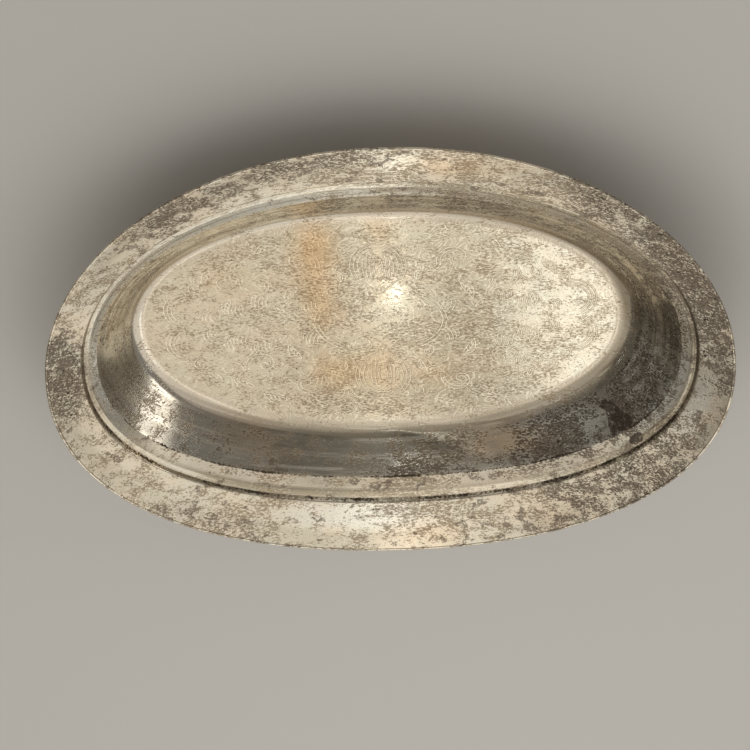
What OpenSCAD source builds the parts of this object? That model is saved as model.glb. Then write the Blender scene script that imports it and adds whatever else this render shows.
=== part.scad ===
// Oval serving tray: one pressed sheet with a dished rim, a narrow ledge and a flat-bottomed well,
// and a round wire soldered along the rim's outer edge. The two ends of the rim sweep upwards.
// The origin is the middle of the footprint, on the plane the tray stands on; +X is along the
// length and +Z is up.

/* [Outline] */
// Length of the tray over the edge wire
tray_l = 400; // [340:5:460]
// Width of the tray over the edge wire
tray_w = 300; // [260:5:340]
// Squareness of the outer outline, where 2 is a plain ellipse
rim_power = 2.10; // [2:0.02:2.4]
// Squareness of the well's outline
well_power = 2.18; // [2:0.02:2.4]
// Rise of the rim's two ends above its middle
bow = 20; // [0:1:30]

/* [Section] */
// Thickness of the pressed sheet
sheet_t = 1.2; // [0.8:0.1:1.4]
// Width of the rim at the long sides
rim_side = 29; // [22:0.5:34]
// Width of the rim at the ends
rim_end = 18.6; // [14:0.2:24]
// Fall of the rim from its outer edge to the step
rim_fall = 9.2; // [4:0.2:12]
// Width of the step at the long sides
step_side = 1.5; // [1.3:0.1:2.4]
// Width of the step at the ends
step_end = 1.2; // [1:0.1:1.8]
// Fall of the step
step_fall = 2.6; // [2.4:0.1:3.6]
// Width of the cove below the step at the long sides
cove_side = 4.1; // [3:0.1:5]
// Width of the cove at the ends
cove_end = 2.4; // [1.8:0.1:3.2]
// Fall of the cove
cove_fall = 1; // [0.6:0.1:1.4]
// Width of the ledge at the long sides
ledge_side = 8.8; // [7:0.2:11]
// Width of the ledge at the ends
ledge_end = 5.4; // [5:0.1:8]
// Fall of the ledge
ledge_fall = 3.6; // [2.4:0.1:4]
// Width of the wall at the long sides, down to where it would meet the floor
wall_side = 25.4; // [22:0.2:30]
// Width of the wall at the ends
wall_end = 26.2; // [22:0.2:30]
// Fall of the wall
wall_fall = 18; // [12:0.5:22]
// How far the floor lies off the rim's centre, towards -X when negative
floor_shift = -5.5; // [-8:0.5:8]

/* [Rounding] */
// Radius of the shoulder between the rim and the step
shoulder_r = 2; // [1:0.2:2.4]
// Radius of the hollow at the foot of the step
hollow_r = 0.8; // [0.6:0.1:1.2]
// Radius of the roll between the cove and the ledge
roll_r = 6; // [2:1:8]
// Radius of the crease between the ledge and the wall
crease_r = 1.6; // [1:0.2:3]
// Radius of the sweep between the wall and the floor
foot_r = 22; // [8:1:24]

/* [Edge wire] */
// Diameter of the wire along the rim
wire_d = 1.8; // [1.6:0.1:3.2]

/* [Hidden] */

turn_steps = 84; // points round each outline
arc_steps = 3; // pieces in each rounding
wire_steps = 9; // pieces round the wire

wire_r = wire_d / 2;
wire_reach = wire_r + sqrt(wire_r ^ 2 - (sheet_t / 2) ^ 2); // wire beyond the sheet's edge
sheet_a = tray_l / 2 - wire_reach; // the sheet's half length
sheet_b = tray_w / 2 - wire_reach; // the sheet's half width
crease_fall = rim_fall + step_fall + cove_fall + ledge_fall; // outer edge down to the wall's top
full_fall = crease_fall + wall_fall; // outer edge down to the floor
edge_z = sheet_t + full_fall; // height of the outer edge at the tray's middle

function unit(v) = v / norm(v);

// The sum of the first n numbers of a list.
function sum(v, n) = n == 0 ? 0 : v[n - 1] + sum(v, n - 1);

// The sharp corners of a section whose bands have the widths w and the falls f, as
// [distance in, fall], and a last point out on the floor.
function corners(w, f) = [
    for (i = [0:len(w)]) [sum(w, i), sum(f, i)],
    [sum(w, len(w)) + 4 * foot_r, sum(f, len(f))]
];

// An arc of radius r that rounds the corner at p between the points before and after it.
function round_corner(before, p, after, r) =
    let (
        back = unit(before - p),
        ahead = unit(after - p),
        half = acos(back * ahead) / 2,
        centre = p + unit(back + ahead) * (r / sin(half)),
        from = p + back * (r / tan(half)) - centre,
        side = cross([back.x, back.y, 0], [ahead.x, ahead.y, 0]).z > 0 ? -1 : 1,
        sweep = side * (180 - 2 * half)
    )
    [for (i = [0:arc_steps]) let (t = sweep * i / arc_steps)
        centre + [from.x * cos(t) - from.y * sin(t), from.x * sin(t) + from.y * cos(t)]];

// The section's points with every corner rounded, and two more across the rim and one down the wall.
function section(w, f) =
    let (p = corners(w, f), r = [0, shoulder_r, hollow_r, roll_r, crease_r, foot_r])
    concat(
        [p[0], p[1] * 0.35, p[1] * 0.7],
        [for (i = [1:4]) each round_corner(p[i - 1], p[i], p[i + 1], r[i])],
        [p[4] * 0.65 + p[5] * 0.35],
        round_corner(p[4], p[5], p[6], r[5])
    );

falls = [rim_fall, step_fall, cove_fall, ledge_fall, wall_fall];
side_section = section([rim_side, step_side, cove_side, ledge_side, wall_side], falls);
end_section = section([rim_end, step_end, cove_end, ledge_end, wall_end], falls);
rings = len(side_section);

// A point of the outline with half axes a and b and squareness n, at the angle t.
function outline(a, b, n, t) =
    [a * sign(cos(t)) * abs(cos(t)) ^ (2 / n), b * sign(sin(t)) * abs(sin(t)) ^ (2 / n)];

// How far a fall is on the way from the fall at the top to the one at the floor, from 0 to 1.
function way_down(fall, top) = max(0, min(1, (fall - top) / (full_fall - top)));

// The top surface at ring i and angle t.
function top_point(i, t) =
    let (
        fall = side_section[i].y * sin(t) ^ 2 + end_section[i].y * cos(t) ^ 2,
        well = min(1, fall / crease_fall),
        n = rim_power + (well_power - rim_power) * well,
        p = outline(sheet_a - end_section[i].x, sheet_b - side_section[i].x, n, t),
        shift = floor_shift * way_down(fall, rim_fall) ^ 1.7,
        rise = bow * (1 - way_down(fall, crease_fall)) * (p.x / sheet_a) ^ 2
    )
    [p.x + shift, p.y, edge_z - fall + rise];

// The surface's unit normal there, from the neighbouring points.
function normal(i, t) =
    let (
        h = 180 / turn_steps,
        along = top_point(i, t + h) - top_point(i, t - h),
        inward = top_point(min(i + 1, rings - 1), t) - top_point(max(i - 1, 0), t)
    )
    unit(cross(along, inward)) * sign(cross(along, inward).z);

// The underside, one sheet thickness below and never under the plane the tray stands on.
function under_point(i, t) =
    let (p = top_point(i, t) - sheet_t * normal(i, t))
    i == rings - 1 ? [top_point(i, t).x, top_point(i, t).y, 0] : [p.x, p.y, max(0, p.z)];

angles = [for (j = [0:turn_steps - 1]) 360 * j / turn_steps];

// The four-cornered faces between loop a and loop b of a list of loops, as two triangles each.
function band(a, b, count) = [
    for (j = [0:count - 1])
        let (k = (j + 1) % count)
        each [
            [a * count + j, b * count + j, b * count + k],
            [a * count + j, b * count + k, a * count + k]
        ]
];

module pressed_tray() {
    tops = [for (i = [0:rings - 1]) for (t = angles) top_point(i, t)];
    unders = [for (i = [0:rings - 1]) for (t = angles) under_point(i, t)];
    last = rings - 1;
    color("#c9bfa8")
        polyhedron(
            points = concat(tops, unders),
            faces = concat(
                [for (i = [0:rings - 2]) each band(i, i + 1, turn_steps)],
                [for (i = [0:rings - 2]) each band(rings + i + 1, rings + i, turn_steps)],
                band(rings, 0, turn_steps),
                [[for (j = [0:turn_steps - 1]) last * turn_steps + turn_steps - 1 - j]],
                [[for (j = [0:turn_steps - 1]) (rings + last) * turn_steps + j]]
            )
        );
}

// The wire's section at the angle t: a circle cut flat where it meets the sheet's edge face.
function wire_loop(t) =
    let (
        edge = top_point(0, t),
        up = normal(0, t),
        under = edge - sheet_t * up,
        out = unit(edge - top_point(1, t)),
        flat = asin(sheet_t / 2 / wire_r),
        centre = (edge + under) / 2 + out * (wire_reach - wire_r)
    )
    concat(
        [edge],
        [for (i = [1:wire_steps - 1])
            let (a = 180 - flat - (360 - 2 * flat) * i / wire_steps)
            centre + wire_r * (out * cos(a) + up * sin(a))],
        [under]
    );

module edge_wire() {
    count = wire_steps + 1;
    color("#d8d0bd")
        polyhedron(
            points = [for (t = angles) each wire_loop(t)],
            faces = [for (j = [0:turn_steps - 1]) each band(j, (j + 1) % turn_steps, count)]
        );
}

pressed_tray();
edge_wire();
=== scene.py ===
"""An old oval serving tray of worn silver plate on a pale studio floor.

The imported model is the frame. Two detailed pieces stand for its two nodes: the pressed sheet, with
its chased floor and small dents cut into the mesh, and the wire along the rim.
"""
import math

import bpy
import numpy as np
from mathutils import Matrix, Quaternion, Vector
from mathutils.geometry import delaunay_2d_cdt
from mathutils.kdtree import KDTree


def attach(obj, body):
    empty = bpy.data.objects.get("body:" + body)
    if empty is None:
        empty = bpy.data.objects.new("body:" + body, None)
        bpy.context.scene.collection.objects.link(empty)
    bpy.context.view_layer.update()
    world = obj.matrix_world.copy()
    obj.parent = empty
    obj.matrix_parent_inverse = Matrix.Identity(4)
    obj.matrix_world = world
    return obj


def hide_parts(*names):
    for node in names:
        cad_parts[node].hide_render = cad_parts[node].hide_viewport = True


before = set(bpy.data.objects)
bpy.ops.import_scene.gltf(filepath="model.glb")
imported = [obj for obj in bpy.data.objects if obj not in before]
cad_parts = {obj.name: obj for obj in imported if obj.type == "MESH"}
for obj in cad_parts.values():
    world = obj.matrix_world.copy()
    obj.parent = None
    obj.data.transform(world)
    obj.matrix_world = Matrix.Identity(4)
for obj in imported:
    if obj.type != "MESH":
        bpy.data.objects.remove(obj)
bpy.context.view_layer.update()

MM = 0.001

# ---------------------------------------------------------------- the tray's own sizes, in mm
TRAY_L, TRAY_W = 400.0, 300.0  # over the edge wire
SHEET_T = 1.2
WIRE_D = 1.8
# Each band's width at the long sides and at the ends, and its fall
RIM = dict(side=29.0, end=18.6, fall=9.2)
STEP = dict(side=1.5, end=1.2, fall=2.6)
COVE = dict(side=4.1, end=2.4, fall=1.0)
LEDGE = dict(side=8.8, end=5.4, fall=3.6)
WALL = dict(side=25.4, end=26.2, fall=18.0)
BANDS = (RIM, STEP, COVE, LEDGE, WALL)
SHOULDER_R, HOLLOW_R, ROLL_R, CREASE_R, FOOT_R = 2.0, 0.8, 6.0, 1.6, 22.0
RIM_POWER, WELL_POWER = 2.10, 2.18  # squareness of the outlines, where 2 is an ellipse
BOW = 20.0  # rise of the rim's two ends
FLOOR_SHIFT = -5.5  # the floor's place along x
SHIFT_POWER = 1.7  # how late on the way down the sheet moves over

WIRE_R = WIRE_D / 2
WIRE_REACH = WIRE_R + math.sqrt(WIRE_R**2 - (SHEET_T / 2) ** 2)  # wire beyond the sheet's edge
SHEET_A = TRAY_L / 2 - WIRE_REACH  # the sheet's half length
SHEET_B = TRAY_W / 2 - WIRE_REACH  # and its half width
FULL_FALL = sum(band["fall"] for band in BANDS)
CREASE_FALL = FULL_FALL - WALL["fall"]
FLOOR_Z = SHEET_T
EDGE_Z = FLOOR_Z + FULL_FALL  # height of the sheet's edge at the tray's middle

# Ways in from the sheet's edge, measured at the long sides
STEP_IN = RIM["side"] + STEP["side"]  # to the foot of the step
ROLL_IN = STEP_IN + COVE["side"]  # to the roll between the cove and the ledge
CREASE_IN = ROLL_IN + LEDGE["side"]  # to the crease above the wall
FOOT_IN = CREASE_IN + WALL["side"]  # to the foot of the wall
FLAT_IN = FOOT_IN + 12.0  # and the one that stands for all of the flat floor

TURN = 384  # points round the tray
FINE, PLAIN = (8, 7), (4, 4)  # pieces in each bend and each flat, on the worn top and elsewhere
FLOOR_GRID = 4.0  # spacing of the plain floor's points
FLOOR_MARGIN = 1.5  # how far they keep from the floor's edge
CALM_EDGE = 8.0  # width of the rim's edge where the dents fade out, so that the wire keeps its line
WIRE_POINTS = 25  # points round the wire
WIRE_SLACK = 0.96  # thins the round wire, which keeps it inside the CAD model's box


# ---------------------------------------------------------------- the sheet's section
def rounded(before, corner, after, radius, steps):
    """Points of the arc that rounds a corner of the section."""
    before, corner, after = (np.array(p, float) for p in (before, corner, after))
    back = (before - corner) / np.linalg.norm(before - corner)
    ahead = (after - corner) / np.linalg.norm(after - corner)
    half = math.acos(back @ ahead) / 2
    middle = back + ahead
    centre = corner + middle / np.linalg.norm(middle) * radius / math.sin(half)
    start = corner + back * radius / math.tan(half) - centre
    side = -1 if back[0] * ahead[1] - back[1] * ahead[0] > 0 else 1
    turns = side * (math.pi - 2 * half) * np.linspace(0, 1, steps + 1)
    c, s = np.cos(turns), np.sin(turns)
    return centre + np.stack([start[0] * c - start[1] * s, start[0] * s + start[1] * c], 1)


def straight(a, b, steps):
    """Points between a and b, with neither end."""
    t = np.linspace(0, 1, steps + 1)[1:-1, None]
    return np.array(a) * (1 - t) + np.array(b) * t


def section(key, bend_steps, flat_steps):
    """The section's points as [way in from the edge, fall], for key "side" or "end".

    The steps are how many pieces each bend and each flat get, or a few times that many.
    """
    corners = [(0.0, 0.0)]
    for band in BANDS:
        corners.append((corners[-1][0] + band[key], corners[-1][1] + band["fall"]))
    corners.append((corners[-1][0] + 4 * FOOT_R, corners[-1][1]))
    bends = []
    for i, radius in enumerate((SHOULDER_R, HOLLOW_R, ROLL_R, CREASE_R, FOOT_R), 1):
        steps = bend_steps * (3 if radius == FOOT_R else 1)
        bends.append(rounded(corners[i - 1], corners[i], corners[i + 1], radius, steps))
    rows = [np.array([corners[0]])]
    for bend, steps in zip(bends, (2 * flat_steps, 2, 2, flat_steps, 2 * flat_steps)):
        rows += [straight(rows[-1][-1], bend[0], steps), bend]
    return np.concatenate(rows)


def outline(a, b, power, t):
    """Points of a squared ellipse with half axes a and b at the angles t."""
    c, s = np.cos(t), np.sin(t)
    x = a * np.sign(c) * np.abs(c) ** (2 / power)
    y = b * np.sign(s) * np.abs(s) ** (2 / power)
    return x, y


def smooth_step(value, low, high):
    """0 at low and 1 at high, softly between. low may be the greater of the two."""
    t = np.clip((value - low) / (high - low), 0, 1)
    return t * t * (3 - 2 * t)


def hump(x, y, cx, cy, wide, deep, turned=0.0):
    """A soft oval patch, 1 at its centre, in mm on the plan. turned is in degrees."""
    c, s = math.cos(math.radians(turned)), math.sin(math.radians(turned))
    u = ((x - cx) * c + (y - cy) * s) / wide
    v = (-(x - cx) * s + (y - cy) * c) / deep
    return np.exp(-(u * u + v * v))


def field(patches, x, y):
    """The sum of soft patches, each (x, y, half width, half depth, turn, strength), in mm."""
    total = np.zeros_like(x)
    for cx, cy, wide, deep, turned, strength in patches:
        total = total + strength * hump(x, y, cx, cy, wide, deep, turned)
    return total


# Dents and high spots left by years of use: x, y, half width, half depth, turn, height
DENTS = [
    (-95, 30, 40, 24, 10, 0.20),
    (-30, -35, 46, 22, -8, -0.22),
    (48, 22, 38, 26, 15, 0.20),
    (105, -8, 30, 26, 0, -0.24),
    (10, 60, 30, 9, 0, 0.12),
    (20, -86, 34, 3.2, -13, -0.55),
    (62, -96, 20, 5, -20, 0.30),
    (-132, -58, 26, 9, -32, 0.50),
    (-60, -132, 44, 9, 4, 0.35),
    (92, -122, 34, 10, 24, -0.35),
    (150, 70, 26, 12, -40, 0.40),
    (-150, 62, 28, 12, 42, -0.35),
    (30, 132, 50, 10, 0, 0.30),
]


def waviness(x, y):
    """Height of the sheet above its true shape, from the planishing hammer and the dents."""
    z = 0.04 * np.sin(x / 11.0 + 1.3) * np.cos(y / 9.0) + 0.02 * np.sin(x / 6.3 - y / 7.7)
    z = z + 0.06 * np.sin(x / 27.0 - 0.6) * np.sin(y / 19.0 + 0.9)
    return z + field(DENTS, x, y)


def surface(bend_steps, flat_steps, worn=True):
    """The sheet's top as arrays x, y, z of shape (rings, TURN), and each point's way in."""
    side, end = section("side", bend_steps, flat_steps), section("end", bend_steps, flat_steps)
    t = np.arange(TURN) / TURN * 2 * np.pi
    fall = side[:, 1:] * np.sin(t) ** 2 + end[:, 1:] * np.cos(t) ** 2
    power = RIM_POWER + (WELL_POWER - RIM_POWER) * np.minimum(1, fall / CREASE_FALL)
    x, y = outline(SHEET_A - end[:, :1], SHEET_B - side[:, :1], power, t)
    down_wall = np.clip((fall - CREASE_FALL) / WALL["fall"], 0, 1)
    down_wall[-1] = 1  # the last ring is on the flat floor, with no rounding error
    z = EDGE_Z - fall + BOW * (1 - down_wall) * (x / SHEET_A) ** 2
    below_rim = np.clip((fall - RIM["fall"]) / (FULL_FALL - RIM["fall"]), 0, 1)
    x = x + FLOOR_SHIFT * below_rim**SHIFT_POWER
    if worn:
        z = z + waviness(x, y) * smooth_step(side[:, :1], 0, CALM_EDGE)
    return x, y, z, side[:, :1] + 0 * x


def grid_normals(x, y, z):
    """Unit normals of a (rings, TURN) surface that closes round, pointing up."""
    p = np.stack([x, y, z], -1)
    along = np.roll(p, -1, 1) - np.roll(p, 1, 1)
    inward = np.gradient(p, axis=0)
    n = np.cross(along, inward)
    n /= np.linalg.norm(n, axis=-1, keepdims=True)
    return n * np.sign(n[..., 2:])


# ---------------------------------------------------------------- the chased ornament, in mm
GROOVE = 1.6  # width of a chased line
GROOVE_DEPTH = 0.17
STROKE_STEP = 1.3  # spacing of the points along a stroke
NEAREST = 8  # how many pieces of stroke near a point are measured
SLOPE_REACH = 0.5  # how far to each side the floor's slope is measured


def arc(cx, cy, rx, ry, start, stop):
    """Part of an ellipse, from one angle to another in degrees."""
    count = max(6, int(abs(stop - start) * max(rx, ry) / 75))  # about one point for each 1.3 mm
    t = np.radians(np.linspace(start, stop, count))
    return np.stack([cx + rx * np.cos(t), cy + ry * np.sin(t)], 1)


def spiral(cx, cy, outer, inner, start, turns):
    """A scroll that winds in from the outer radius to the inner one, clockwise if turns < 0."""
    t = np.linspace(0, 1, max(14, int(abs(turns) * 26)))  # 26 points to a turn
    r = outer * (inner / outer) ** t
    a = math.radians(start) + turns * 2 * math.pi * t
    return np.stack([cx + r * np.cos(a), cy + r * np.sin(a)], 1)


def beside(line, gap):
    """A line that runs beside another at a distance."""
    d = np.gradient(line, axis=0)
    d /= np.linalg.norm(d, axis=1, keepdims=True)
    return line + gap * np.stack([-d[:, 1], d[:, 0]], 1)


def placed(shapes, x, y, turned):
    """The shapes turned by some degrees and moved to x, y."""
    c, s = math.cos(math.radians(turned)), math.sin(math.radians(turned))
    return [shape @ np.array([[c, s], [-s, c]]) + [x, y] for shape in shapes]


def leaf(x, y, turned, length, width):
    """A pointed leaf with a midrib and three veins on each side."""
    s = np.linspace(0, 1, 14)
    bulge = width * np.sin(np.pi * s**0.8)
    bend = 0.12 * length * np.sin(np.pi * s)
    shapes = [np.stack([length * s, bend + bulge], 1), np.stack([length * s, bend - bulge], 1)]
    shapes.append(np.stack([length * s[:11], bend[:11]], 1))
    v = np.linspace(0, 1, 4)
    for start in (0.25, 0.42, 0.6):
        root = 0.12 * length * math.sin(math.pi * start)
        tip = 0.75 * width * math.sin(math.pi * start**0.8)
        for way in (-1, 1):
            shapes.append(np.stack([length * (start + 0.14 * v), root + way * tip * v], 1))
    return placed(shapes, x, y, turned)


def hatch(x, y, turned, count, gap, length, bow):
    """A row of short curved strokes side by side, the middle ones longest."""
    v = np.linspace(-1, 1, 7)
    rows = []
    for k in range(count):
        size = length / 2 * (1 - 0.5 * (2 * k / (count - 1) - 1) ** 2)
        rows.append(np.stack([k * gap + bow * (1 - v**2), size * v], 1))
    return placed(rows, x, y, turned)


# Leaves between the scrolls: x, y, turn, length, half width
LEAVES = [
    (30, 60, 12, 17, 3.0), (58, 58, -22, 15, 2.8), (77, 47, -32, 15, 2.8),
    (96, 41, -50, 12, 2.4), (48, 27, -60, 14, 2.6), (88, 20, -75, 12, 2.3),
    (34, 36, 150, 12, 2.2), (56, 9, 12, 15, 2.6), (22, 30, 62, 10, 2.0),
]


def quarter():
    """The strokes of one quarter of the ornament, right and away from the middle, in mm."""
    lines = []
    # side cartouche: a shell of nested ovals that closes to a point towards the middle
    for k in range(3):
        lines.append(arc(0, 41, 16.5 - 2.3 * k, 17.5 - 2.3 * k, -32, 90))
    tail = np.linspace(0, 1, 9)
    lines.append(np.stack([14 - 13 * tail**0.8, 31.7 - 11 * tail], 1))
    lines += hatch(2.0, 40, 0, 4, 2.2, 15, 0.6)
    lines.append(spiral(20.5, 53, 5.2, 1.0, 150, -1.5))
    # end cartouche: a scalloped triple outline
    for k in range(3):
        lines.append(arc(113, 12.5, 14.5 - 2.2 * k, 14.0 - 2.2 * k, -58, 95))
    lines.append(spiral(108, 29, 5.0, 1.0, -80, 1.4))
    lines += hatch(99, 7.0, 28, 4, 2.3, 8, 1.4)
    # the medallion's arcs about the middle
    for k in range(2):
        lines.append(arc(0, 0, 39 - 2.3 * k, 25 - 2.0 * k, 4, 52))
    lines.append(spiral(27, 23.5, 6.0, 1.1, 200, 1.5))
    lines += hatch(37, 12.5, -18, 5, 2.2, 8.5, 0.8)
    # the running scroll between the cartouches, with a second line beside its two large turns
    for scroll in (spiral(46, 45, 12.5, 1.6, 200, -1.35), spiral(70, 30, 12.5, 1.5, 20, -1.4)):
        lines += [scroll, beside(scroll[:22], -2.1)]
    lines.append(spiral(91, 33, 8.5, 1.2, 170, 1.3))
    lines += hatch(66, 16.5, 8, 6, 2.2, 8, 0.8)
    lines += hatch(80, 11.5, -6, 5, 2.2, 7, 0.8)
    for spray in LEAVES:
        lines += leaf(*spray)
    return lines


def ornament():
    """Every chased line on the floor, as polylines about the floor's centre."""
    lines = []
    for line in quarter():
        for mirror in ((1, 1), (-1, 1), (1, -1), (-1, -1)):
            lines.append(line * mirror)
    return lines


def spaced(line, gap):
    """The same line with its points about gap apart."""
    run = np.r_[0, np.cumsum(np.linalg.norm(np.diff(line, axis=0), axis=1))]
    at = np.linspace(0, run[-1], max(2, int(run[-1] / gap) + 1))
    return np.stack([np.interp(at, run, line[:, k]) for k in (0, 1)], 1)


STROKES = [spaced(line, STROKE_STEP) for line in ornament()]
STARTS = np.concatenate([stroke[:-1] for stroke in STROKES])
STOPS = np.concatenate([stroke[1:] for stroke in STROKES])
STROKE_TREE = KDTree(len(STARTS))
for number, midpoint in enumerate((STARTS + STOPS) / 2):
    STROKE_TREE.insert((*midpoint, 0), number)
STROKE_TREE.balance()


def chased(points):
    """Depth of the chasing in mm, and its slope, at points about the floor's centre."""
    near = [[hit[1] for hit in STROKE_TREE.find_n((*p, 0), NEAREST)] for p in points]
    near = np.array(near)
    along = STOPS[near] - STARTS[near]
    off = points[:, None] - STARTS[near]
    t = np.clip((off * along).sum(2) / (along**2).sum(2), 0, 1)
    off = off - t[..., None] * along
    gaps = np.linalg.norm(off, axis=2)
    best = gaps.argmin(1)[:, None]
    gap = np.take_along_axis(gaps, best, 1)[:, 0]
    away = off[np.arange(len(points)), best[:, 0]] / np.maximum(gap, 1e-6)[:, None]
    phase = np.pi * np.clip(gap / GROOVE, 0, 0.5)
    steep = -GROOVE_DEPTH * np.pi / GROOVE * np.sin(2 * phase) * (gap < GROOVE / 2)
    return GROOVE_DEPTH * np.cos(phase) ** 2, away * steep[:, None]


def floor_surface(x, y):
    """The floor's height at x, y in mm and its unit normals, with its dents and chasing."""
    depth, slope = chased(np.stack([x - FLOOR_SHIFT, y], 1))
    h = SLOPE_REACH
    dx = (waviness(x + h, y) - waviness(x - h, y)) / (2 * h) - slope[:, 0]
    dy = (waviness(x, y + h) - waviness(x, y - h)) / (2 * h) - slope[:, 1]
    n = np.stack([-dx, -dy, np.ones_like(dx)], 1)
    return FLOOR_Z + waviness(x, y) - depth, n / np.linalg.norm(n, axis=1, keepdims=True)


def floor_mesh(ring):
    """Points and faces that fill the ring of the floor's edge, closely along every stroke."""
    reach = np.abs(ring).max(0)
    a, b = reach - FLOOR_MARGIN - [abs(FLOOR_SHIFT), 0]

    def inside(p):
        return (abs(p[..., 0] - FLOOR_SHIFT) / a) ** 2 + (abs(p[..., 1]) / b) ** 2 < 1

    count = len(ring)
    points = [tuple(p) for p in ring]
    edges = [(i, (i + 1) % count) for i in range(count)]
    grid = np.meshgrid(*(np.arange(-r, r, FLOOR_GRID) for r in reach))
    loose = np.stack([axis.ravel() for axis in grid], 1)
    points += [tuple(p) for p in loose[inside(loose)]]
    for stroke in STROKES:
        for share in (-0.5, -0.25, 0, 0.25, 0.5):
            line = beside(stroke, share * GROOVE) + [FLOOR_SHIFT, 0]
            if inside(line).all():
                first = len(points)
                points += [tuple(p) for p in line]
                edges += [(first + i, first + i + 1) for i in range(len(line) - 1)]
    made = delaunay_2d_cdt([Vector(p) for p in points], edges, [list(range(count))], 1, 1e-4)
    return np.array([tuple(v) for v in made[0]]), [tuple(f) for f in made[2]]


# ---------------------------------------------------------------- wear, painted shade and painted highlight, as fields over the plan
# Where the tarnish is heavier than usual, or lighter where the strength is negative, in the form
# that field() takes. The tray's parts each have their own groups, which overlap a little.
TARNISH = [
    # the rim, from the +X end round by +Y, and a few more patches on it
    (192, 16, 18, 66, 0, 0.65), (138, 106, 46, 18, -34, 0.65), (-20, 142, 46, 12, 3, 0.35),
    (-96, 122, 40, 16, 26, 0.35), (-136, 98, 34, 14, 36, 0.30), (-188, 8, 13, 40, 0, 0.55),
    (-112, -118, 44, 10, -26, 0.35), (-30, -134, 30, 8, 0, -0.15), (60, -134, 30, 10, 8, 0.10),
    (-20, -134, 50, 9, 0, -0.30), (112, -112, 38, 20, 28, 0.55), (158, -86, 30, 18, 42, 0.60),
    (174, 60, 16, 34, 20, 0.60), (-60, 134, 36, 11, 14, 0.25), (-124, 106, 28, 13, 36, 0.12),
    (-190, 10, 10, 34, 0, 0.30),
    # the ledge and the wall, and small clean patches on the rim
    (160, 34, 20, 70, 0, 0.45), (60, 104, 60, 8, -8, 0.25), (-90, 88, 50, 13, 26, -0.70),
    (-158, 20, 16, 50, 0, -0.40), (-6, -108, 60, 6, 0, 0.15), (96, -82, 34, 11, 24, 0.80),
    (137, -60, 7, 9, 0, 1.20), (150, -40, 16, 30, 12, 0.35), (-128, -50, 20, 16, -30, -0.90),
    (-40, -90, 56, 12, 0, -0.50), (100, -78, 12, 10, 0, 0.50), (62, -88, 16, 8, 8, -0.60),
    (116, -70, 6, 9, 0, -0.20), (186, -34, 8, 14, 10, -0.35), (176, 84, 10, 8, 0, -0.40),
    (150, 104, 10, 6, -30, -0.40), (-150, -84, 18, 10, -34, -0.40), (-178, 46, 8, 16, 0, -0.45),
    # the floor
    (50, 0, 17, 60, 0, 0.26), (30, 10, 18, 16, 0, 0.15), (-50, 10, 16, 44, 0, 0.24),
    (-96, 44, 30, 14, 16, 0.20), (-30, -62, 40, 9, 0, 0.50), (60, -56, 30, 9, 10, 0.35),
    (-70, -30, 16, 14, 0, 0.20), (102, 4, 26, 34, 0, -0.80), (6, 18, 13, 13, 0, -1.10),
    (4, -30, 12, 26, 0, -0.45), (-104, -6, 26, 16, 0, -0.15), (75, 8, 20, 60, 0, 0.10),
    (0, 0, 130, 66, 0, 0.12), (0, 52, 12, 16, 0, -0.35), (-36, 18, 9, 9, 0, -0.60),
    (-112, 8, 14, 8, 0, -0.40), (40, -34, 12, 6, 0, -0.50),
]

# Copper-coloured stains, in the same form
STAINS = [
    # the floor
    (-42, 34, 13, 36, 0, 0.75), (-42, 58, 12, 14, 0, 0.65), (-40, 8, 9, 16, 0, 0.35),
    (-6, -36, 13, 20, 0, 0.45), (-32, -38, 16, 14, 0, 0.80), (-4, 66, 8, 8, 0, 0.5),
    (24, -40, 14, 16, 0, 0.35), (-92, 34, 20, 14, 0, 0.30),
    # the rim and the wall
    (40, 132, 26, 9, 0, 0.55), (66, -86, 26, 9, 10, 1.0), (20, -139, 18, 8, 0, 0.45),
    (96, -124, 20, 10, 20, 0.25), (-88, -78, 26, 9, -22, 0.7),
]

# Coats along the bands, as (angle round the tray, half angle, way in, half width, strength):
# partly tarnish and partly painted shade, which darkens the cove, the ledge and the wall most
# strongly away from the upper left. Where the strength is negative the plate is painted paler
# than usual, partly as painted highlight.
RING_FILMS_AND_LIGHT = [
    # the cove
    (8, 46, 32.8, 2.6, 0.85), (62, 20, 32.8, 2.6, 0.55), (82, 10, 34, 5, 0.60),
    (246, 30, 33.3, 3.2, 0.90), (286, 18, 33.3, 3.2, 0.35), (330, 24, 32.8, 2.6, 0.45),
    (184, 14, 32.8, 2.6, 0.35),
    # the ledge
    (48, 40, 39, 5, 0.45), (128, 36, 38, 7, -0.60), (182, 16, 40, 4, -0.80),
    (262, 15, 40, 4, 0.50), (345, 16, 41, 5, -0.80),
    # the wall
    (24, 28, 55, 13, 0.75), (116, 24, 50, 9, -0.65), (126, 20, 65, 4, -1.00),
    (165, 9, 56, 7, 0.40), (186, 13, 54, 14, -0.70), (227, 13, 54, 11, -0.65),
    (305, 22, 50, 9, -0.50), (302, 12, 58, 8, -0.35), (250, 40, 54, 10, 0.40),
    (316, 9, 56, 10, -0.45), (336, 12, 58, 6, 0.20),
    # the sweep at the wall's foot
    (262, 40, 67, 5, 0.75), (318, 26, 67, 5, 0.75), (355, 22, 67, 5, 0.65), (30, 30, 67, 4, 0.35),
    # the rim
    (22, 24, 8, 10, 0.30), (112, 18, 8, 11, 0.35), (142, 18, 16, 14, 0.20),
    (183, 16, 12, 16, 0.25), (60, 16, 6, 8, 0.35), (140, 10, 6, 8, 0.35), (200, 12, 6, 8, 0.20),
    (256, 14, 6, 8, 0.35), (218, 24, 7, 9, 0.20), (330, 30, 6, 8, 0.15), (262, 14, 20, 9, -0.60),
    (344, 10, 21, 8, -0.60),
]

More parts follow.
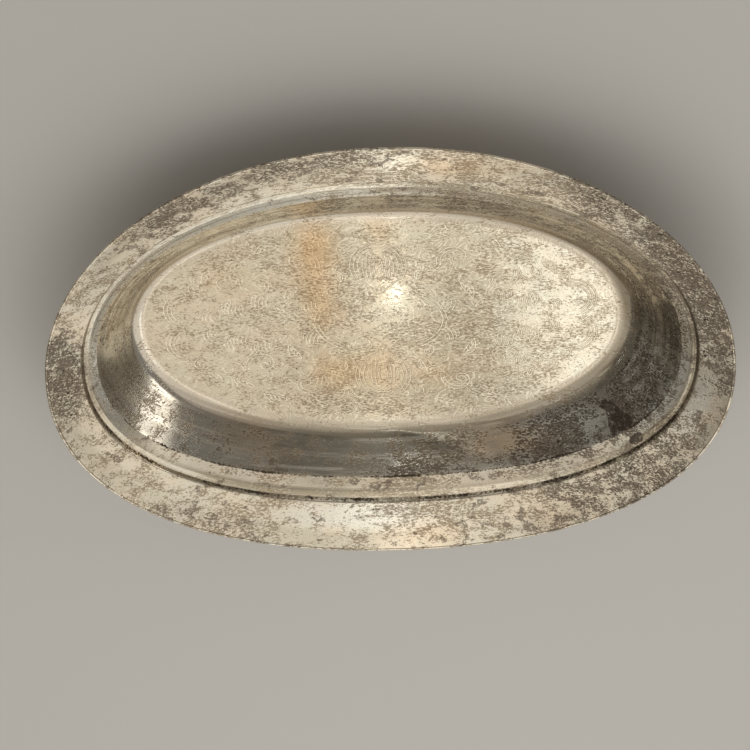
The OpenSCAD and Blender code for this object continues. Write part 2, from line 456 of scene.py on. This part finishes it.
# Films on the floor, in the same form as the tarnish
FLOOR_FILMS = [
    (0, 0, 400, 400, 0, 0.19), (46, 0, 36, 90, 0, 0.34), (-28, -20, 30, 60, 0, 0.24),
    (-20, 50, 26, 22, 0, 0.14), (-40, 55, 60, 20, 0, 0.10), (0, -54, 80, 22, 0, 0.20),
]

# Where the plate is eaten through on the wall, in the same form
CORROSION = [
    (128, -58, 5.5, 4.5, 0, 1.0), (137, -62, 6, 4.5, 20, 1.0), (131, -67, 4, 6, 0, 1.0),
    (144, -70, 6, 3.5, 45, 1.0),
]

SWEEP_CLEAN = 0.9  # how much less tarnish the sweep at the wall's foot holds


def hoop(inset, way_in, half, power=2):
    """A soft hoop round the tray, 1 at way_in and fading over half on each side."""
    return np.exp(-(((inset - way_in) / half) ** power))


def ring_films_and_light(x, y, inset):
    """The tarnish, painted shade and painted highlight along the bands, at points x, y in mm."""
    angle = np.degrees(np.arctan2(y / SHEET_B, x / SHEET_A))
    total = np.zeros_like(x)
    for at, spread, way_in, half, strength in RING_FILMS_AND_LIGHT:
        off = (angle - at + 180) % 360 - 180
        total = total + strength * np.exp(-((off / spread) ** 4)) * hoop(inset, way_in, half, 4)
    return total


def crease_marks_and_highlight(x, y, inset):
    """Three fields that follow the tray's lines.

    They are the darkening in the hollows behind the step and above the wall on the -Y side and at
    the +X end, a painted highlight along the crease and the roll at the far left, and how strongly
    the lines of a burnishing tool show on the ledge and the wall.
    """
    at_step = 0.9 * hoop(inset, STEP_IN - 0.5, 0.9)
    at_roll = hoop(inset, ROLL_IN - 0.3, 0.7)
    at_crease = hoop(inset, CREASE_IN - 0.2, 1.0)
    near_side = smooth_step(y, 20, -40)
    right_end = 0.6 * smooth_step(x, 90, 140)
    far_left = smooth_step(y, -10, 40) * smooth_step(x, 60, -20)
    # darker along the step's hollow on the -Y side and at the +X end, and along the crease on the -Y
    # side
    crease_darkening = at_step * np.maximum(near_side, right_end) + at_crease * near_side
    ledge_and_wall = smooth_step(inset, STEP_IN + 1, STEP_IN + 4)
    ledge_and_wall = ledge_and_wall * smooth_step(inset, CREASE_IN + 16, CREASE_IN + 3)
    # the second field is a painted highlight along the crease and the roll at the far left
    return np.clip(crease_darkening, 0, 1), (at_crease + at_roll) * far_left, far_left * ledge_and_wall


def band_of(inset):
    """How much a point belongs to the wall, the sweep at its foot and the floor."""
    wall = smooth_step(inset, CREASE_IN - 0.5, CREASE_IN + 1)
    wall = wall * smooth_step(inset, FOOT_IN + 5, FOOT_IN - 7)
    sweep = smooth_step(inset, FOOT_IN - 7, FOOT_IN - 4)
    sweep = sweep * smooth_step(inset, FOOT_IN + 9, FOOT_IN + 4)
    return wall, sweep, smooth_step(inset, FOOT_IN + 1, FOOT_IN + 6)


# ---------------------------------------------------------------- meshes
def closed_bands(first, rings):
    """Quads between rings of TURN points each, whose indices start at first."""
    faces = []
    for i in range(rings - 1):
        a, b = first + i * TURN, first + (i + 1) * TURN
        for j in range(TURN):
            k = (j + 1) % TURN
            faces.append((a + j, a + k, b + k, b + j))
    return faces


def make_piece(name, points, faces, normals, attributes):
    """A mesh object in metres with its own shading normals and float attributes."""
    mesh = bpy.data.meshes.new(name)
    mesh.from_pydata((np.array(points) * MM).tolist(), [], faces)
    for key, values in attributes.items():
        layer = mesh.attributes.new(key, "FLOAT", "POINT")
        layer.data.foreach_set("value", np.asarray(values, np.float32))
    mesh.shade_smooth()
    mesh.normals_split_custom_set_from_vertices(np.asarray(normals).tolist())
    piece = bpy.data.objects.new(name, mesh)
    bpy.context.collection.objects.link(piece)
    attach(piece, "root")
    return piece


def underside():
    """Points, normals and ways in of the sheet's plain back, which the tray stands on."""
    x, y, z, inset = surface(*PLAIN, worn=False)
    normals = grid_normals(x, y, z)
    points = np.stack([x, y, z], -1) - SHEET_T * normals
    points[..., 2] = np.maximum(points[..., 2], 0)  # nothing dips below the foot
    points[-1] = np.stack([x[-1], y[-1], 0 * x[-1]], 1)
    normals[-1] = (0, 0, 1)
    return points, -normals, inset


def sheet_faces(rings, floor_faces, under_first, under_rings):
    """Faces of the top's rings, the floor, the underside and the band round the sheet's edge."""
    last_ring = (rings - 1) * TURN
    floor_first = rings * TURN
    bottom_ring = under_first + (under_rings - 1) * TURN

    def floor_index(i):
        return last_ring + i if i < TURN else floor_first + i - TURN

    faces = closed_bands(0, rings)
    faces += [tuple(floor_index(i) for i in face) for face in floor_faces]
    faces += [face[::-1] for face in closed_bands(under_first, under_rings)]
    for j in range(TURN):
        k = (j + 1) % TURN
        faces.append((under_first + j, under_first + k, k, j))
    faces.append(tuple(bottom_ring + j for j in reversed(range(TURN))))
    return faces


def sheet_wear_and_light(x, y, ways_in, under_first):
    """The fields of wear, painted shade and painted highlight that the sheet's material reads, as
    values at the mesh's points.
    """
    wall, sweep, floor = band_of(ways_in)
    crease_darkening, painted_edge_highlight, burnished = crease_marks_and_highlight(x, y, ways_in)
    burnished[under_first:] = 0
    return {
        "tarnish": field(TARNISH, x, y) - SWEEP_CLEAN * sweep,
        "stain": field(STAINS, x, y),
        # darker along the step and the crease on the -Y side and at the +X end
        "crease_darkening": crease_darkening,
        # painted highlight along the crease and the roll at the far left
        "painted_edge_highlight": painted_edge_highlight,
        "burnished": burnished,
        "cove": hoop(ways_in, STEP_IN + 3.5, 4.0, 4),
        # tarnish, with painted shade and painted highlight along the bands
        "film_and_light": ring_films_and_light(x, y, ways_in) + floor * field(FLOOR_FILMS, x, y),
        "corrosion": field(CORROSION, x, y),
        "wall": wall,
        "sweep": sweep,
        "floor": floor,
        "way_in": ways_in * MM,
    }


def sheet_piece():
    """The pressed sheet: its worn top, the chased floor and the plain underside in one mesh."""
    x, y, z, inset = surface(*FINE)
    normals = grid_normals(x, y, z)
    normals[-1] = floor_surface(x[-1], y[-1])[1]
    edge = np.stack([x[-1], y[-1]], 1)

    plan, floor_faces = floor_mesh(edge)
    assert np.abs(plan[:TURN] - edge).max() < 1e-3, "the floor's edge has moved"
    fx, fy = plan[TURN:].T
    fz, floor_normals = floor_surface(fx, fy)
    under, under_normals, under_inset = underside()

    floor_first = x.size
    under_first = floor_first + fx.size
    top = np.stack([x, y, z], -1)
    points = np.concatenate(
        [top.reshape(-1, 3), np.stack([fx, fy, fz], 1), under.reshape(-1, 3)]
    )
    normals = np.concatenate(
        [normals.reshape(-1, 3), floor_normals, under_normals.reshape(-1, 3)]
    )
    ways_in = np.concatenate([inset.ravel(), fx * 0 + FLAT_IN, under_inset.ravel()])
    faces = sheet_faces(len(x), floor_faces, under_first, len(under))

    attributes = sheet_wear_and_light(points[:, 0], points[:, 1], ways_in, under_first)
    groove = np.zeros(len(points))
    groove[floor_first:under_first] = chased(plan[TURN:] - [FLOOR_SHIFT, 0])[0] / GROOVE_DEPTH
    attributes["groove"] = groove
    piece = make_piece("tray_sheet", points, faces, normals, attributes)
    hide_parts("pressed_tray")
    return piece


def wire_piece():
    """The wire: a circle cut flat where it meets the sheet's edge, carried round the rim."""
    x, y, z, _ = surface(*PLAIN, worn=False)
    up = grid_normals(x, y, z)[0]
    edge = np.stack([x[0], y[0], z[0]], 1)
    out = edge - np.stack([x[1], y[1], z[1]], 1)
    out /= np.linalg.norm(out, axis=1, keepdims=True)
    flat = math.asin(SHEET_T / 2 / WIRE_R)
    middle = edge - up * SHEET_T / 2 + out * (WIRE_REACH - WIRE_R)
    loops, normals = [], []
    for a in np.linspace(math.pi - flat, flat - math.pi, WIRE_POINTS):
        way = out * math.cos(a) + up * math.sin(a)
        loops.append(middle + WIRE_SLACK * WIRE_R * way)
        normals.append(way)
    points = np.concatenate(loops)
    faces = closed_bands(0, len(loops))
    last = (len(loops) - 1) * TURN
    faces += [(last + j, last + (j + 1) % TURN, (j + 1) % TURN, j) for j in range(TURN)]
    faces = [face[::-1] for face in faces]
    attributes = {
        "tarnish": field(TARNISH, points[:, 0], points[:, 1]),
        "stain": field(STAINS, points[:, 0], points[:, 1]),
    }
    piece = make_piece("rim_wire", points, faces, np.concatenate(normals), attributes)
    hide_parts("edge_wire")
    return piece


# ---------------------------------------------------------------- materials
class Nodes:
    """Short ways to add and join the nodes of one material."""

    def __init__(self, name):
        self.material = bpy.data.materials.new(name)
        self.material.use_nodes = True
        self.tree = self.material.node_tree
        self.shader = self.tree.nodes["Principled BSDF"]

    def add(self, kind, **settings):
        """A new node of one kind, such as Math."""
        node = self.tree.nodes.new("ShaderNode" + kind)
        for key, value in settings.items():
            setattr(node, key, value)
        return node

    def join(self, source, socket):
        """Links a socket to another one, or sets it to a number, a vector or a colour."""
        if isinstance(source, (int, float)):
            socket.default_value = source
        elif isinstance(source, tuple):
            socket.default_value = source if socket.type == "VECTOR" else (*source, 1)
        else:
            self.tree.links.new(source, socket)

    def place(self):
        """The point's place on the piece, in metres."""
        return self.add("TexCoord").outputs["Object"]

    def attribute(self, name):
        """One of the fields of wear stored on the mesh."""
        return self.add("Attribute", attribute_name=name).outputs["Fac"]

    def stretch(self, vector, scale, turned=0.0, offset=(0, 0, 0)):
        """The vector scaled, turned by some degrees and moved, in metres."""
        node = self.add("Mapping")
        self.join(vector, node.inputs["Vector"])
        self.join(offset, node.inputs["Location"])
        self.join((0, 0, math.radians(turned)), node.inputs["Rotation"])
        self.join(scale, node.inputs["Scale"])
        return node.outputs["Vector"]

    def noise(self, vector, grain_mm, detail=3.0, rough=0.55):
        """Noise with blots about grain_mm across."""
        node = self.add("TexNoise")
        self.join(vector, node.inputs["Vector"])
        self.join(1 / (grain_mm * MM), node.inputs["Scale"])
        self.join(detail, node.inputs["Detail"])
        self.join(rough, node.inputs["Roughness"])
        return node.outputs["Fac"]

    def math(self, operation, a, b=0.0):
        """One Math node."""
        node = self.add("Math", operation=operation)
        self.join(a, node.inputs[0])
        self.join(b, node.inputs[1])
        return node.outputs[0]

    def plus(self, a, b):
        """The sum of two values."""
        return self.math("ADD", a, b)

    def times(self, *factors):
        """The product of two or more values."""
        product = factors[0]
        for factor in factors[1:]:
            product = self.math("MULTIPLY", product, factor)
        return product

    def outside(self, mask, amount=1.0):
        """1 where the mask is 0, and less by the amount where it is 1."""
        return self.math("SUBTRACT", 1.0, self.times(mask, amount))

    def ramp(self, value, low, high):
        """0 at low and 1 at high, softly between. low and high may be sockets."""
        node = self.add("MapRange", interpolation_type="SMOOTHSTEP")
        self.join(value, node.inputs["Value"])
        self.join(low, node.inputs["From Min"])
        self.join(high, node.inputs["From Max"])
        return node.outputs["Result"]

    def mix(self, amount, a, b, blend="MIX"):
        """Colour a where the amount is 0 and colour b, or its blend with a, where it is 1."""
        node = self.add("Mix", data_type="RGBA", blend_type=blend)
        self.join(amount, node.inputs["Factor"])
        self.join(a, node.inputs[6])  # inputs 6 and 7 are a Mix node's colours
        self.join(b, node.inputs[7])
        return node.outputs[2]

    def coat(self, under, tint, mask, amount=1.0, blend="MIX"):
        """The colour under a coat of tint, which is laid on by the amount where the mask is 1."""
        return self.mix(self.times(mask, amount), under, tint, blend)

    def blend(self, amount, a, b):
        """The number a where the amount is 0 and b where it is 1."""
        node = self.add("Mix", data_type="FLOAT")
        self.join(amount, node.inputs["Factor"])
        self.join(a, node.inputs[2])  # inputs 2 and 3 are a Mix node's numbers
        self.join(b, node.inputs[3])
        return node.outputs[0]


# Colours of the plate and of what lies on it, as linear red, green and blue
CLEAN_SILVER = (0.87, 0.80, 0.675)
DULL_SILVER = (0.65, 0.575, 0.465)
SWEEP_SILVER = (0.645, 0.575, 0.49)
FLOOR_TINT = (1.0, 0.985, 0.945)
WARM_PATCH = (1.0, 0.965, 0.93)
COOL_PATCH = (0.965, 0.985, 0.975)
# bright fresh silver, also laid on as painted highlight
BRIGHT_CUT_AND_HIGHLIGHT = (0.97, 0.91, 0.77)
# pale plate, also laid on as painted highlight
PALE_PLATE_AND_HIGHLIGHT = (0.92, 0.915, 0.84)
# tint of tarnish and of painted shade
FILM_AND_SHADE_TINT = (0.40, 0.375, 0.32)
# dark painted shade along the edges of the chased cuts
GROOVE_EDGE_SHADE = (0.30, 0.235, 0.165)
WALL_FILM = (0.475, 0.45, 0.395)
WALL_DARK = (0.325, 0.30, 0.25)
BROWN_SPECK = (0.36, 0.28, 0.19)
BLOTCH = (0.20, 0.16, 0.125)
TARNISHED = (0.085, 0.066, 0.052)
# colour of the deposit specks and of the darkening along the creases
GRIME = (0.06, 0.043, 0.030)
COPPER_TINT = (1.0, 0.83, 0.66)

ROUGH = dict(clean=0.15, dull=0.22, specks=0.36, stains=0.40, groove=0.26, eaten=0.45, dirt_and_crease=0.60)
BUMP_STRENGTH = 0.16
BUMP_HEIGHT = 0.3 * MM
BURNISH_GAP = 6.0  # mm between the lines that a burnishing tool left
SPOT_GAP = 3.4  # mm between round corrosion spots
FULL_TURN = 2 * math.pi


def speckle(nodes, place, heavy, even):
    """Masks of the fine dark specks, the light flecks beside them and the duller tarnish between.

    Where even is 1, as on the floor, the specks gather less in clumps.
    """
    grain = nodes.noise(nodes.stretch(place, (0.5, 1.0, 1.0)), 1.0, 3.0, 0.75)
    clump = nodes.noise(nodes.stretch(place, (0.6, 1.0, 1.0)), 6.5, 5.0, 0.65)
    broad = nodes.noise(place, 34.0, 2.0)
    cover = nodes.plus(nodes.times(clump, 0.66), nodes.times(broad, 0.34))
    cover = nodes.plus(cover, nodes.times(heavy, 0.085))
    # a speck shows where the grain is above an edge, which is lower where the cover is heavy
    sparse = nodes.blend(even, 0.605, 0.583)
    gathered = nodes.blend(even, 0.175, 0.115)
    closeness = nodes.times(nodes.ramp(cover, 0.385, 0.585), gathered)
    edge = nodes.math("SUBTRACT", sparse, closeness)
    specks = nodes.ramp(grain, edge, nodes.plus(edge, 0.09))
    flecks = nodes.times(nodes.ramp(grain, 0.43, 0.36), nodes.ramp(cover, 0.38, 0.52))
    return specks, flecks, nodes.ramp(cover, 0.36, 0.66)


def spots(nodes, place, heavy):
    """A mask of round corrosion spots, which come where the tarnish is heavy."""
    cells = nodes.add("TexVoronoi", feature="F1")
    nodes.join(place, cells.inputs["Vector"])
    nodes.join(1 / (SPOT_GAP * MM), cells.inputs["Scale"])
    chance = nodes.plus(nodes.noise(place, 11.0, 2.0), nodes.times(heavy, 0.16))
    radius = nodes.ramp(chance, 0.60, 0.85)
    distance = cells.outputs["Distance"]
    return nodes.ramp(distance, nodes.times(radius, 0.42), nodes.times(radius, 0.24))


def blotches(nodes, place, heavy):
    """A mask of flat stains with crisp edges, pricked through by lighter points."""
    shifted = nodes.stretch(place, (0.8, 1.0, 1.0), offset=(0.4, 0.7, 0.0))
    shape = nodes.noise(shifted, 7.5, 5.0, 0.6)
    body = nodes.ramp(nodes.plus(shape, nodes.times(heavy, 0.15)), 0.58, 0.625)
    prick = nodes.noise(place, 1.1, 2.0, 0.6)
    return nodes.times(body, nodes.ramp(prick, 0.61, 0.52))


def worn_chasing(nodes, place):
    """A mask of fine nested curves, which is what is left of the lightest cuts."""
    shifted = nodes.stretch(place, (1.0, 1.0, 1.0), offset=(0.5, 0.2, 0.0))
    contours = nodes.times(nodes.noise(shifted, 15.0, 1.5, 0.4), 85.0)  # a curve for each wave
    return nodes.ramp(nodes.math("SINE", contours), 0.35, 0.95)


def drawn_lines(nodes, place):
    """Noise drawn out into lines that run round the tray, along its bands."""
    here = nodes.add("SeparateXYZ")
    nodes.join(place, here.inputs[0])
    along = nodes.add("CombineXYZ")
    nodes.join(nodes.attribute("way_in"), along.inputs["X"])
    nodes.join(nodes.times(here.outputs["X"], 0.04), along.inputs["Y"])
    nodes.join(nodes.times(here.outputs["Y"], 0.04), along.inputs["Z"])
    return nodes.noise(along.outputs[0], 4.2, 3.0, 0.65)


def bare_plate(nodes, place, patch):
    """The plate's own colour: clean or dull, with warmer and cooler patches."""
    colour = nodes.coat(CLEAN_SILVER, DULL_SILVER, patch, 0.55)
    shifted = nodes.stretch(place, (1.0, 1.0, 1.0), offset=(0.3, 0.6, 0.0))
    hue = nodes.ramp(nodes.noise(shifted, 24.0, 3.0), 0.38, 0.62)
    return nodes.mix(1.0, colour, nodes.mix(hue, WARM_PATCH, COOL_PATCH), "MULTIPLY")


def films_and_painted_light(nodes, place, colour, heavy, wall):
    """The colour under the dark skin on the wall, the sweep's dull coat and the uneven coats, which
    are partly tarnish, partly painted shade and, where paler, partly painted highlight.
    """
    streaks = nodes.noise(nodes.stretch(place, (0.3, 1.0, 1.0)), 5.0, 4.0)
    skin = nodes.mix(nodes.ramp(streaks, 0.28, 0.72), WALL_FILM, WALL_DARK)
    cover = nodes.plus(0.85, nodes.times(nodes.math("MINIMUM", heavy, 0.0), 0.30))
    colour = nodes.coat(colour, skin, wall, cover)
    colour = nodes.coat(colour, SWEEP_SILVER, nodes.attribute("sweep"), 0.6)
    film_and_light = nodes.attribute("film_and_light")  # below 0 where the plate is painted paler, partly as painted highlight
    # paler where negative, partly as painted highlight; darker where positive, partly as painted
    # shade
    colour = nodes.coat(colour, PALE_PLATE_AND_HIGHLIGHT, film_and_light, -1.0)
    return nodes.coat(colour, FILM_AND_SHADE_TINT, film_and_light, blend="MULTIPLY")


def tool_lines_and_highlight(nodes, place, colour, wall, cove):
    """The colour under the lines round the tray, and under the painted highlight on the far edges."""
    lines = drawn_lines(nodes, place)
    below_rim = nodes.times(nodes.math("MAXIMUM", wall, cove), 0.50)
    colour = nodes.coat(colour, BRIGHT_CUT_AND_HIGHLIGHT, nodes.ramp(lines, 0.52, 0.62), below_rim)
    colour = nodes.coat(colour, WALL_DARK, nodes.ramp(lines, 0.47, 0.35), below_rim)
    turns = nodes.times(nodes.attribute("way_in"), FULL_TURN / (BURNISH_GAP * MM))
    stripes = nodes.math("SINE", nodes.plus(turns, nodes.times(lines, 16.0)))
    shown = nodes.attribute("burnished")
    dark_lines = nodes.times(nodes.ramp(stripes, -0.1, -0.9), shown)
    light_lines = nodes.times(nodes.ramp(stripes, 0.5, 0.95), shown)
    colour = nodes.coat(colour, WALL_DARK, dark_lines, 0.50)
    colour = nodes.coat(colour, PALE_PLATE_AND_HIGHLIGHT, light_lines, 0.9)
    # painted highlight along the crease and the roll at the far left
    return nodes.coat(colour, BRIGHT_CUT_AND_HIGHLIGHT, nodes.attribute("painted_edge_highlight"), 0.8)


def chasing(nodes, place, colour, floor):
    """The floor's colour, with its cuts and faint curves painted lighter as painted highlight and the
    cuts' edges darkened as painted shade, and masks of its cuts.

    The first mask has the cuts in the mesh and the second the faint ones between them. Both are
    kept in patches and worn away elsewhere.
    """
    cut = nodes.attribute("groove")
    kept = nodes.ramp(nodes.noise(place, 9.0, 3.0), 0.36, 0.60)
    edge_shade = nodes.times(nodes.ramp(cut, 0.02, 0.25), kept)
    groove = nodes.times(nodes.ramp(cut, 0.40, 0.90), nodes.blend(kept, 0.45, 1.0))
    swirl = nodes.times(worn_chasing(nodes, place), floor, nodes.blend(kept, 0.35, 1.0))
    # painted shade on the cuts' edges; painted highlight in the cuts and on the faint curves
    colour = nodes.coat(colour, GROOVE_EDGE_SHADE, edge_shade, 0.55)
    colour = nodes.coat(colour, BRIGHT_CUT_AND_HIGHLIGHT, groove, 0.85)
    colour = nodes.coat(colour, BRIGHT_CUT_AND_HIGHLIGHT, swirl, 0.45)
    return nodes.coat(colour, FLOOR_TINT, floor, blend="MULTIPLY"), groove, swirl


def dirt_and_crease_mask(nodes, place, heavy):
    """A mask of dark deposit specks, of round corrosion spots and of the darkening along the step and
    the crease.
    """
    thick = nodes.plus(nodes.noise(place, 1.6, 4.0, 0.7), nodes.times(nodes.noise(place, 22.0), 0.9))
    # darker along the step and the crease on the -Y side and at the +X end
    thick = nodes.plus(thick, nodes.times(nodes.attribute("crease_darkening"), 0.5))
    return nodes.math("MAXIMUM", nodes.ramp(thick, 1.31, 1.47), spots(nodes, place, heavy))


def eaten_mask(nodes, place):
    """A mask of the ragged, pitted patch where the plate is eaten through."""
    ragged = nodes.times(nodes.noise(place, 5.0, 4.0, 0.6), 0.8)
    patch = nodes.ramp(nodes.plus(nodes.attribute("corrosion"), ragged), 0.90, 0.97)
    return nodes.times(patch, nodes.ramp(nodes.noise(place, 3.0, 3.0), 0.66, 0.50))


def scratches(nodes, place):
    """The height of long hairlines and short nicks."""
    hairs = nodes.noise(nodes.stretch(place, (0.05, 1.0, 1.0), turned=4), 0.9, 3.0)
    across = nodes.stretch(place, (1.0, 0.25, 1.0), turned=35, offset=(0.2, 0.1, 0.0))
    nicks = nodes.noise(across, 1.0, 2.0)
    return nodes.plus(nodes.times(hairs, 0.3), nodes.times(nicks, 0.12))


def plated(name, wire=False):
    """Worn silver plate, blotched and speckled with tarnish that fields on the mesh steer.

    The wire has no wall, cove, floor or chasing, so it takes only the plate and its tarnish.
    """
    nodes = Nodes(name)
    place = nodes.place()
    heavy = nodes.attribute("tarnish")
    wall, cove, floor = (0.0 if wire else nodes.attribute(part) for part in ("wall", "cove", "floor"))
    specks, flecks, patch = speckle(nodes, place, heavy, floor)
    stains = blotches(nodes, place, heavy)
    colour = bare_plate(nodes, place, patch)
    groove, swirl = 0.0, 0.0
    if not wire:
        colour = films_and_painted_light(nodes, place, colour, heavy, wall)
        colour = tool_lines_and_highlight(nodes, place, colour, wall, cove)
        colour, groove, swirl = chasing(nodes, place, colour, floor)

    specks = nodes.times(specks, nodes.outside(groove, 0.9), nodes.outside(cove, 0.5))
    stains = nodes.times(stains, nodes.outside(floor))
    deep = nodes.ramp(nodes.plus(heavy, nodes.times(wall, 0.4)), 0.05, 0.6)
    speck_tint = nodes.mix(nodes.times(deep, nodes.outside(floor, 0.6)), BROWN_SPECK, TARNISHED)
    colour = nodes.coat(colour, BROWN_SPECK, nodes.ramp(heavy, 0.1, 1.2), 0.30)
    colour = nodes.coat(colour, BRIGHT_CUT_AND_HIGHLIGHT, flecks, 0.5)
    colour = nodes.coat(colour, speck_tint, specks, 0.85)
    colour = nodes.coat(colour, BLOTCH, stains, 0.75)
    rough = nodes.blend(patch, ROUGH["clean"], ROUGH["dull"])
    rough = nodes.blend(specks, rough, ROUGH["specks"])
    rough = nodes.blend(stains, rough, ROUGH["stains"])
    rough = nodes.blend(groove, rough, ROUGH["groove"])
    if not wire:
        eaten = eaten_mask(nodes, place)
        # deposit specks, corrosion spots and the darkening along the creases
        dirt_and_crease = dirt_and_crease_mask(nodes, place, heavy)
        colour = nodes.coat(colour, TARNISHED, eaten, 0.85)
        colour = nodes.coat(colour, GRIME, dirt_and_crease, 0.88)
        rough = nodes.blend(eaten, rough, ROUGH["eaten"])
        rough = nodes.blend(dirt_and_crease, rough, ROUGH["dirt_and_crease"])
    colour = nodes.coat(colour, COPPER_TINT, nodes.attribute("stain"), blend="MULTIPLY")
    nodes.join(colour, nodes.shader.inputs["Base Color"])
    nodes.join(rough, nodes.shader.inputs["Roughness"])
    nodes.shader.inputs["Metallic"].default_value = 1.0

    relief = nodes.plus(scratches(nodes, place), nodes.times(specks, -0.8))
    relief = nodes.plus(relief, nodes.times(swirl, 0.7))
    bump = nodes.add("Bump")
    bump.inputs["Strength"].default_value = BUMP_STRENGTH
    bump.inputs["Distance"].default_value = BUMP_HEIGHT
    nodes.join(relief, bump.inputs["Height"])
    nodes.join(bump.outputs["Normal"], nodes.shader.inputs["Normal"])
    return nodes.material


# ---------------------------------------------------------------- the studio, in metres
PALE_FLOOR = (0.74, 0.73, 0.71)
FLOOR_HALF = 6.0
FLOOR_DROP = 0.0002  # keeps the studio floor clear of the tray's underside

PANEL_TINT = (1.0, 0.95, 0.86)
# Each lamp's name, azimuth and elevation in degrees, distance, width, height, power in watts and
# tint. The glint, the streak and the glows stand where the camera sees them in the tray's floor.
LAMPS = [
    ("main_panel", 6, 48, 2.2, 4.9, 3.6, 32, PANEL_TINT),
    ("high_panel", 6, 97, 2.3, 4.9, 0.8, 4.6, PANEL_TINT),
    ("top_panel", 6, 112, 2.4, 4.9, 0.7, 2.4, PANEL_TINT),
    ("side_window", 105, 18, 1.4, 0.55, 0.36, 1.1, (1.0, 0.97, 0.92)),
    ("glint", 0.2, 62.0, 0.109, 0.005, 0.005, 0.0006, (0.93, 0.97, 1.0)),
    ("glint_halo", -1.3, 54.1, 0.538, 0.03, 0.03, 0.0016, (0.93, 0.98, 1.0)),
    ("back_fill", 180, 14, 2.4, 3.0, 0.9, 2.2, PANEL_TINT),
    ("streak", -3, 62, 0.62, 0.03, 0.9, 0.062, (1.0, 0.96, 0.88)),
    ("end_glow", 18, 52, 0.66, 0.10, 0.30, 0.070, (0.84, 0.93, 1.0)),
    ("end_core", 18, 52, 0.66, 0.05, 0.16, 0.024, (0.86, 0.94, 1.0)),
]
ROOM_TINT = (1.0, 0.95, 0.88, 1)
ROOM_LIGHT = 0.22

AIM = (-9.36 * MM, -13.03 * MM, EDGE_Z * MM)  # the point that the camera looks at
CAMERA_AZIMUTH = 2.304  # degrees from +Y towards +X
CAMERA_ELEVATION = 51.186
CAMERA_DISTANCE = 2.3439
CAMERA_ROLL = 180.04  # half a turn puts +Y up in the frame, as in the photograph
CAMERA_LENS = 192
CAMERA_SENSOR = 36


def studio_floor():
    """The pale floor that the tray stands on."""
    h = FLOOR_HALF
    mesh = bpy.data.meshes.new("studio_floor")
    mesh.from_pydata([(-h, -h, 0), (h, -h, 0), (h, h, 0), (-h, h, 0)], [], [(0, 1, 2, 3)])
    floor = bpy.data.objects.new("studio_floor", mesh)
    floor.location.z = -FLOOR_DROP
    bpy.context.collection.objects.link(floor)
    nodes = Nodes("pale_floor")
    nodes.join(PALE_FLOOR, nodes.shader.inputs["Base Color"])
    nodes.shader.inputs["Roughness"].default_value = 0.7
    mesh.materials.append(nodes.material)


def soft_light(name, azimuth, elevation, distance, wide, high, power, colour):
    """A rectangular soft light that faces the tray. Its azimuth is 0 at -Y and 90 at +X."""
    a, e = math.radians(azimuth), math.radians(elevation)
    back = Vector((math.sin(a) * math.cos(e), -math.cos(a) * math.cos(e), math.sin(e)))
    data = bpy.data.lights.new(name, "AREA")
    data.shape, data.size, data.size_y = "RECTANGLE", wide, high
    data.energy, data.color = power, colour
    light = bpy.data.objects.new(name, data)
    light.location = back * distance
    light.rotation_mode = "QUATERNION"
    light.rotation_quaternion = back.to_track_quat("Z", "Y")
    bpy.context.collection.objects.link(light)


def camera():
    """A long lens at the photograph's angle: from the tray's +Y side, with +Y up in the frame."""
    data = bpy.data.cameras.new("camera")
    data.sensor_width, data.lens = CAMERA_SENSOR, CAMERA_LENS
    cam = bpy.data.objects.new("camera", data)
    a, e = math.radians(CAMERA_AZIMUTH), math.radians(CAMERA_ELEVATION)
    back = Vector((math.sin(a) * math.cos(e), math.cos(a) * math.cos(e), math.sin(e)))
    roll = Quaternion((0, 0, 1), math.radians(CAMERA_ROLL))
    turn = back.to_track_quat("Z", "Y") @ roll
    place = Vector(AIM) + back * CAMERA_DISTANCE
    cam.matrix_world = Matrix.Translation(place) @ turn.to_matrix().to_4x4()
    bpy.context.collection.objects.link(cam)
    bpy.context.scene.camera = cam


def room():
    """The dim warm light that comes from all round."""
    world = bpy.data.worlds.new("studio")
    world.use_nodes = True
    background = world.node_tree.nodes["Background"]
    background.inputs["Color"].default_value = ROOM_TINT
    background.inputs["Strength"].default_value = ROOM_LIGHT
    bpy.context.scene.world = world
    bpy.context.scene.view_settings.view_transform = "Standard"


sheet = sheet_piece()
sheet.data.materials.append(plated("tarnished_plate"))
wire = wire_piece()
wire.data.materials.append(plated("wire_plate", wire=True))

studio_floor()
for lamp in LAMPS:
    soft_light(*lamp)
camera()
room()
